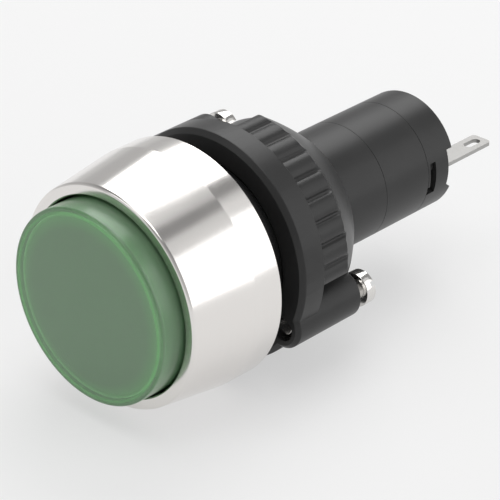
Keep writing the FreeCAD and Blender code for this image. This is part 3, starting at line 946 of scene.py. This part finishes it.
class RingShape:
    """Outer surface of the fixing ring around the turn and along the axis."""

    # Along the axis.
    face = 3.96
    flange_rise = 0.5
    bore_start = 4.2
    groove_start = 7.52
    shoulder = 11.9
    bore_end = 13.8
    end = 17.33

    # Radii.
    mouth = 11.2
    bore = 10.93
    recess = 11.9
    rear = 10.1
    rear_bore = 8.6
    flange_chamfer = 0.62
    shoulder_step = 0.38
    cone_bulge = 0.18

    # Angles in degrees of the padded arc, which comes twice, and the share of a pitch
    # from its ends to the middle of the nearest groove.
    pads_from = -5.85
    pads_to = 90.4
    end_share = 0.7778

    # Form of a pad and half the widths of a groove.
    pad_drop = 0.03
    pad_crown = 0.23
    pad_power = 2.5
    groove_half_floor = 0.1
    groove_half_top = 0.38

    def __init__(self, radius, depth, count):
        self.radius = radius
        self.depth = depth
        self.count = count
        self.pitch = (self.pads_to - self.pads_from) / (count - 1 + 2 * self.end_share)
        self.first = self.pads_from + self.end_share * self.pitch

    def angles(self):
        """Columns gathered at each groove and at the ends of the pads, on both sides."""
        near = [0.035, 0.07, 0.1, 0.13, 0.165, 0.2, 0.26, 0.36]
        offsets = [-0.5] + [-k for k in reversed(near)] + [0.0] + near
        ends = [0.0, 0.2, 0.45, 0.8, 1.7, 3.0]
        wall = 0.05
        steps = 32
        next_pads = self.pads_from + 180.0
        gap = next_pads - self.pads_to
        side = [self.pads_from + k for k in ends[:-1]]
        for i in range(self.count):
            side += [self.first + (i + k) * self.pitch for k in offsets]
        side += [self.pads_to - k for k in reversed(ends)]
        side.append(self.pads_to + wall)
        side += [self.pads_to + gap * k / steps for k in range(1, steps)]
        side.append(next_pads - wall)
        return side + [angle + 180.0 for angle in side]

    def grip(self, angle):
        """Depth of the grip pattern below the ring's outer radius at an angle."""
        slack = 1e-6
        local = (angle - self.pads_from + slack) % 180.0 + self.pads_from
        if local > self.pads_to + 2 * slack:
            return self.radius - self.recess
        nearest = round((local - self.first) / self.pitch)
        nearest = min(max(nearest, 0), self.count - 1)
        across = abs(math.radians(local - self.first - nearest * self.pitch)) * self.radius
        edge = min(local - self.pads_from, self.pads_to - local)
        if edge < self.pitch / 2:
            across = self.groove_half_top + math.radians(max(edge, 0.0)) * self.radius
        crest = math.radians(self.pitch / 2) * self.radius
        away = (crest - min(across, crest)) / (crest - self.groove_half_top)
        pad = self.pad_drop + self.pad_crown * min(away, 1.0) ** self.pad_power
        if across >= self.groove_half_top:
            return pad
        floor = self.groove_half_floor
        t = max(0.0, across - floor) / (self.groove_half_top - floor)
        return self.depth + (pad - self.depth) * t * t * (3 - 2 * t)

    def outer(self, angle, radius, y):
        """Moved radius of a point of the profile."""
        if y < self.groove_start or radius < self.mouth:
            return radius
        return min(radius, self.radius - self.grip(angle))

    def profile(self):
        """Closed section from the bore, round the front and back to the bore."""
        top = self.radius
        cone = top - self.shoulder_step
        steps = 24
        points = [
            (self.mouth, self.face),
            (top - self.flange_chamfer, self.face, 0.1),
            (top, self.face + self.flange_rise, 0.25),
        ]
        # Rows close together where the grooves start, then wider apart along the pads.
        rows = (-0.06, -0.01, 0.0, 0.05, 0.5, 1.2, 2.0, 2.8, 3.5)
        points += [(top, self.groove_start + k) for k in rows]
        # The rounded shoulder, then the rear cone with its slight bulge.
        points += [
            (top, self.shoulder - 0.35, 0.2),
            (top - 0.27, self.shoulder - 0.1),
            (top - 0.34, self.shoulder),
            (cone, self.shoulder + 0.04),
        ]
        for k in range(1, steps):
            t = k / steps
            bulge = self.cone_bulge * math.sin(math.pi * t)
            points.append((cone + (self.rear - cone) * t + bulge,
                           self.shoulder + (self.end - self.shoulder) * t))
        points += [
            (self.rear, self.end, 0.12),
            (self.rear_bore, self.end, 0.12),
            (self.bore, self.bore_end),
            (self.bore, self.bore_start),
        ]
        return points


class PILOT_OT_fixing_ring(bpy.types.Operator):
    """Black fixing ring with grip pads and two clamp bosses"""

    bl_idname = "pilot.fixing_ring"
    bl_label = "Fixing ring"

    def execute(self, context):
        ring = RingShape(mm(sizes().ring_radius), mm(sizes().groove_depth),
                         sizes().groove_count)
        mesh = turned(ring.profile(), ring.angles(), 4, ring.outer)
        piece = to_object("fixing_ring_nut", mesh)
        bosses = [self.boss(ring, angle) for angle in SCREW_ANGLES.values()]
        holes = [self.hole(ring, angle) for angle in SCREW_ANGLES.values()]
        combine(piece, bosses, "UNION")
        combine(piece, holes, "DIFFERENCE")
        dress(piece, "black_nylon", "ring", ["fixing_ring"], 30.0)
        return {"FINISHED"}

    def boss(self, ring, angle):
        """Round boss for a clamp screw, hollowed by the bore of the ring."""
        radius = 3.1
        inset = 1.98
        end = 14.8
        chamfer = 0.5
        past_end = 30.0
        outline = [
            (0.0, ring.face),
            (radius - chamfer, ring.face, 0.15),
            (radius, ring.face + chamfer, 0.2),
            (radius, end, 0.2),
            (0.0, end),
        ]
        boss = to_object("boss", turned(outline, even_angles(96)))
        shift(boss, *polar(ring.radius - inset, angle))
        bore = [(0.0, 0.0), (ring.bore, 0.0), (ring.bore, past_end), (0.0, past_end)]
        combine(boss, [to_object("bore", turned(bore, even_angles(180)))], "DIFFERENCE")
        return boss

    def hole(self, ring, angle):
        """Cutter for a clamp screw's hole, which is wider at its mouth."""
        radius = 1.3
        mouth_radius = 1.5
        mouth_end = ring.face + 0.4
        past_end = 16.0
        outline = [
            (0.0, 0.0),
            (mouth_radius, 0.0),
            (mouth_radius, mouth_end),
            (radius, mouth_end),
            (radius, past_end),
            (0.0, past_end),
        ]
        cutter = to_object("screw_hole", turned(outline, even_angles(48)))
        shift(cutter, *polar(ring.radius - SCREW_INSET, angle))
        return cutter


class PILOT_OT_clamp_screws(bpy.types.Operator):
    """Two plated cheese-head screws with threaded shanks"""

    bl_idname = "pilot.clamp_screws"
    bl_label = "Clamp screws"

    def execute(self, context):
        tip = 4.55
        taper = 0.35
        shank = 1.25
        thread_start = 4.95
        thread_end = 16.1
        head_radius = 2.15
        head_start = 16.39
        head_end = 17.89
        slot_floor = 17.24
        slot_half = 0.32
        past_edge = 3.0
        past_head = 19.0
        near = 1e-3
        pitch = mm(sizes().screw_pitch)
        cut = thread(pitch, 0.2, thread_start, thread_end, 0.4)

        def shape(angle, radius, y):
            on_thread = abs(radius - shank) < near and thread_start <= y <= thread_end
            return radius + cut(angle, y) if on_thread else radius

        profile = [(0.0, tip), (shank - taper, tip, 0.1), (shank, tip + taper)]
        profile += thread_rows(shank, thread_start, thread_end, pitch)
        profile += [
            (shank, head_start),
            (head_radius, head_start, 0.08),
            (head_radius, head_end, 0.12),
            (0.0, head_end),
        ]
        reach = mm(sizes().ring_radius) - SCREW_INSET
        for name, angle in SCREW_ANGLES.items():
            piece = to_object("cheese_head_screw_" + name,
                              turned(profile, even_angles(48), 4, shape))
            slot = block("slot", (-past_edge, slot_floor, -slot_half),
                         (past_edge, past_head, slot_half))
            spin(slot, math.degrees(sizes().slot_angle))
            combine(piece, [slot], "DIFFERENCE")
            piece.location = Vector(polar(reach, angle)) * MM
            bpy.context.view_layer.update()
            dress(piece, "plated_steel", name + "_screw", ["clamp_screw_" + name])
        return {"FINISHED"}


class PILOT_OT_socket(bpy.types.Operator):
    """Black socket piece, its brass bayonet shell and the insulating seat"""

    bl_idname = "pilot.socket"
    bl_label = "Lamp socket"

    def execute(self, context):
        front = 20.5
        front_radius = 6.3
        bore = 5.62
        bore_end = 28.2
        rear_bore = 5.12
        rear = 35.6
        rear_radius = 6.7
        past_rear = 40.0
        slot_start = 30.44
        slot_reach = 5.68
        slot_half = 1.26
        profile = [
            (bore, front, 0.15),
            (front_radius, front, 0.15),
            (front_radius, HOUSING_END),
            (BARREL_RADIUS, HOUSING_END, 0.07),
            (BARREL_RADIUS, SOCKET_END, 0.07),
            (rear_radius, SOCKET_END),
            (rear_radius, rear, 0.1),
            (rear_bore, rear),
            (rear_bore, bore_end),
            (bore, bore_end),
        ]
        piece = to_object("socket_barrel", turned(profile, even_angles(128)))
        lugs = []
        for turn in (0, 180):
            lug = ring_sector("lug", (6.5, 7.1), (7.0, 13.5), (34.31, 35.24), 4)
            spin(lug, turn)
            lugs.append(lug)
        combine(piece, lugs, "UNION")
        strip_slot = block("strip_slot", (0.0, slot_start, -slot_half),
                           (slot_reach, past_rear, slot_half))
        combine(piece, [strip_slot], "DIFFERENCE")
        dress(piece, "black_nylon", "housing", ["socket_body"])
        keep("bayonet_shell", "brass")
        keep("spring_seat", "laminate")
        return {"FINISHED"}


class PILOT_OT_rear_cap(bpy.types.Operator):
    """Black rear cap with bayonet windows and a notched rim"""

    bl_idname = "pilot.rear_cap"
    bl_label = "Rear cap"

    def execute(self, context):
        bore = 6.75
        rim_bore = 6.7
        wall_front = 36.4
        wall_rear = 37.63
        end = 38.67
        past_end = 40.0
        wall_cut = (5.9, 8.6)
        rim_cut = (5.2, 8.6)
        cut_start = -17.0
        tab_inner = 3.84
        tab_outer = 6.76
        tab_half = 0.31
        before_wall = 35.0
        profile = [
            (bore, SOCKET_END, 0.07),
            (BARREL_RADIUS, SOCKET_END, 0.07),
            (BARREL_RADIUS, end, 0.12),
            (rim_bore, end, 0.1),
            (rim_bore, wall_rear),
            (0.0, wall_rear),
            (0.0, wall_front),
            (bore, wall_front),
        ]
        piece = to_object("rear_cap", turned(profile, even_angles(144)))
        cutters = []
        for turn in (0, 180):
            group = [
                ring_sector("window", wall_cut, (cut_start, 14.5), (34.25, 35.3)),
                ring_sector("entry", wall_cut, (cut_start, -9.0), (33.0, 35.2)),
                ring_sector("rim_notch", rim_cut, (cut_start, 20.0), (wall_rear, past_end), 16),
                self.flare(rim_cut, wall_rear + 0.01),
                block("tab_slot", (tab_inner, before_wall, -tab_half),
                      (tab_outer, past_end, tab_half)),
            ]
            for cutter in group:
                spin(cutter, turn)
            cutters += group
        combine(piece, cutters, "DIFFERENCE")
        dress(piece, "black_nylon", "housing", ["terminal_cap"])
        return {"FINISHED"}

    def flare(self, radii, floor):
        """Wedge that slopes the lower end of the rim notch."""
        past_rim = 39.67
        wedge = lofted("flare", [
            [(radius, floor, 0.0), (radius, past_rim, -1.55), (radius, past_rim, 0.4)]
            for radius in radii
        ])
        spin(wedge, -16.2)
        return wedge


class PILOT_OT_terminals(bpy.types.Operator):
    """Two tinned solder tabs with their feet inside the cap"""

    bl_idname = "pilot.terminals"
    bl_label = "Terminals"

    def execute(self, context):
        for node in ("terminal_centre", "terminal_shell"):
            keep(node, "tinned_brass")
        return {"FINISHED"}


class PILOT_OT_contact(bpy.types.Operator):
    """Spring contact that touches the tip of the lamp"""

    bl_idname = "pilot.contact"
    bl_label = "Spring contact"

    def execute(self, context):
        keep("contact_plunger", "brass")
        coil = bmesh.new()
        coil.from_mesh(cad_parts["contact_spring"].data)
        spring = to_object("contact_coil", coil)
        dress(spring, "spring_steel", "housing", ["contact_spring"], 50.0)
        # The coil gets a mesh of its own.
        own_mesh(spring)
        return {"FINISHED"}


class PILOT_OT_reflector(bpy.types.Operator):
    """White cone that throws the light forward"""

    bl_idname = "pilot.reflector"
    bl_label = "Reflector"

    def execute(self, context):
        keep("reflector", "white_abs")
        return {"FINISHED"}


class PILOT_OT_lamp(bpy.types.Operator):
    """Small bayonet lamp: base, bulb, stem, filament and contact"""

    bl_idname = "pilot.lamp"
    bl_label = "Lamp"

    def execute(self, context):
        slots = {
            "lamp_cap": "plated_brass",
            "lamp_insulator": "black_glass",
            "lamp_tip": "solder",
            "lamp_glass": "bulb_glass",
            "lamp_stem": "bulb_glass",
            "lamp_filament": "tungsten",
        }
        for node, slot in slots.items():
            keep(node, slot)
        return {"FINISHED"}


# Stage


class PILOT_OT_stage(bpy.types.Operator):
    """Pale floor, soft studio light and the camera"""

    bl_idname = "pilot.stage"
    bl_label = "Stage"

    def execute(self, context):
        self.floor()
        self.sky()
        self.lights()
        self.camera()
        return {"FINISHED"}

    def floor(self):
        """Wide floor under the object, pale to the camera."""
        half_width = 4.0
        gap = 0.02 * MM
        glow = 0.6
        mesh = bmesh.new()
        bmesh.ops.create_grid(mesh, x_segments=1, y_segments=1, size=half_width)
        piece = to_object("floor", mesh)
        piece.location.z = -sizes().floor_drop - gap
        tone = rgba(colours().floor)
        # Painted board, matte. It glows a little to the camera and in reflections, so that
        # it stays pale there without lighting the object from below.
        material, tree, shader = start_material("pale_floor", {
            "Base Color": tone,
            "Roughness": 0.9,
            "Specular IOR Level": 0.0,
        })
        paths = add(tree, "ShaderNodeLightPath").outputs
        either = add(tree, "ShaderNodeMath", {"operation": "MAXIMUM"},
                     {0: paths["Is Camera Ray"], 1: paths["Is Glossy Ray"]})
        shown = add(tree, "ShaderNodeMath", {"operation": "MAXIMUM"},
                    {0: either.outputs[0], 1: paths["Is Transmission Ray"]})
        share = add(tree, "ShaderNodeMath", {"operation": "MULTIPLY", 1: glow},
                    {0: shown.outputs[0]})
        pale = add(tree, "ShaderNodeEmission", {"Color": tone, "Strength": 1.0})
        mixed = add(tree, "ShaderNodeMixShader", None, {
            0: share.outputs[0],
            1: shader.outputs["BSDF"],
            2: pale.outputs["Emission"],
        })
        tree.links.new(mixed.outputs["Shader"], tree.nodes["Material Output"].inputs["Surface"])
        piece.data.materials.append(material)

    def sky(self):
        """Grey studio room, pale at the horizon and darker overhead."""
        world = bpy.data.worlds.new("studio")
        bpy.context.scene.world = world
        world.use_nodes = True
        tree = world.node_tree
        way = add(tree, "ShaderNodeTexCoord").outputs["Generated"]
        split = add(tree, "ShaderNodeSeparateXYZ", None, {0: way})
        ramp = add(tree, "ShaderNodeValToRGB", None, {"Fac": split.outputs["Z"]})
        # Each level is a height, from 0 at the horizon to 1 overhead, and the grey there.
        levels = ((0.0, 0.62), (0.1, 0.62), (0.18, 0.5), (0.35, 0.5), (0.75, 0.25))
        set_stops(ramp, [(height, (level, level, level)) for height, level in levels])
        tree.links.new(ramp.outputs["Color"], tree.nodes["Background"].inputs["Color"])

    def lights(self):
        """Soft boxes; each is a direction, a distance, a width in metres and a brightness."""
        boxes = (
            ("right_box", (0.80, 0.53, 0.27), 0.5, 0.44, 1.2),
            ("right_upper_box", (0.55, 0.50, 0.67), 0.52, 0.2, 0.5),
            ("top_near_strip", (0.13, 0.40, 0.905), 0.5, 0.15, 0.35),
            ("top_far_strip", (0.317, 0.66, 0.68), 0.5, 0.1, 0.5),
            ("rear_box", (-0.36, 0.55, 0.76), 0.5, 0.36, 3.0),
            ("overhead_box", (0.05, -0.12, 1.0), 0.6, 0.45, 2.2),
            ("front_box", (-0.35, -0.75, 0.56), 0.6, 0.3, 0.9),
        )
        for name, way, distance, width, brightness in boxes:
            data = bpy.data.lights.new(name, "AREA")
            data.shape = "SQUARE"
            data.size = width
            # Power grows with the area, so that the brightness holds at any width.
            data.energy = brightness * math.pi * width ** 2
            lamp = bpy.data.objects.new(name, data)
            bpy.context.scene.collection.objects.link(lamp)
            towards = Vector(way).normalized()
            lamp.location = towards * distance
            lamp.rotation_euler = (-towards).to_track_quat("-Z", "Y").to_euler()

    def camera(self):
        """Camera where the photograph was taken from, for a square picture."""
        azimuth = math.radians(43.507)
        height = math.radians(28.913)
        position = Vector((180.137, -179.4695, 141.3725)) * MM
        flat = math.cos(height)
        back = Vector((math.sin(azimuth) * flat, -math.cos(azimuth) * flat, math.sin(height)))
        right = Vector((math.cos(azimuth), math.sin(azimuth), 0.0))
        up = back.cross(right)
        data = bpy.data.cameras.new("camera")
        data.sensor_width = 36.0
        data.lens = 182.553
        data.clip_start = 0.01
        data.clip_end = 50.0
        camera = bpy.data.objects.new("camera", data)
        bpy.context.scene.collection.objects.link(camera)
        place = Matrix((right, up, back)).transposed().to_4x4()
        place.translation = position
        camera.matrix_world = place
        bpy.context.scene.camera = camera
        bpy.context.scene.view_settings.view_transform = "Standard"


STEPS = (
    PILOT_OT_bezel,
    PILOT_OT_lens,
    PILOT_OT_seals,
    PILOT_OT_housing,
    PILOT_OT_fixing_ring,
    PILOT_OT_clamp_screws,
    PILOT_OT_socket,
    PILOT_OT_rear_cap,
    PILOT_OT_terminals,
    PILOT_OT_contact,
    PILOT_OT_reflector,
    PILOT_OT_lamp,
    PILOT_OT_stage,
)


class PILOT_PT_panel(bpy.types.Panel):
    """Settings and build steps of the pilot light"""

    bl_label = "Pilot Light"
    bl_idname = "PILOT_PT_panel"
    bl_space_type = "VIEW_3D"
    bl_region_type = "UI"
    bl_category = "Pilot Light"

    def draw(self, context):
        for group in (sizes(), colours()):
            column = self.layout.column(align=True)
            for name in group.__annotations__:
                column.prop(group, name)
        column = self.layout.column(align=True)
        for step in STEPS:
            column.operator(step.bl_idname)


CLASSES = (PilotLightSizes, PilotLightColours) + STEPS + (PILOT_PT_panel,)


def register():
    """Add the classes and their settings to Blender."""
    for item in CLASSES:
        bpy.utils.register_class(item)
    bpy.types.Scene.pilot_light_sizes = bpy.props.PointerProperty(type=PilotLightSizes)
    bpy.types.Scene.pilot_light_colours = bpy.props.PointerProperty(type=PilotLightColours)


def unregister():
    """Take the classes and their settings out again."""
    del bpy.types.Scene.pilot_light_colours
    del bpy.types.Scene.pilot_light_sizes
    for item in reversed(CLASSES):
        bpy.utils.unregister_class(item)


def main():
    """Build every piece and the stage."""
    register()
    for step in STEPS:
        group, name = step.bl_idname.split(".")
        getattr(getattr(bpy.ops, group), name)()


if __name__ == "__main__":
    main()
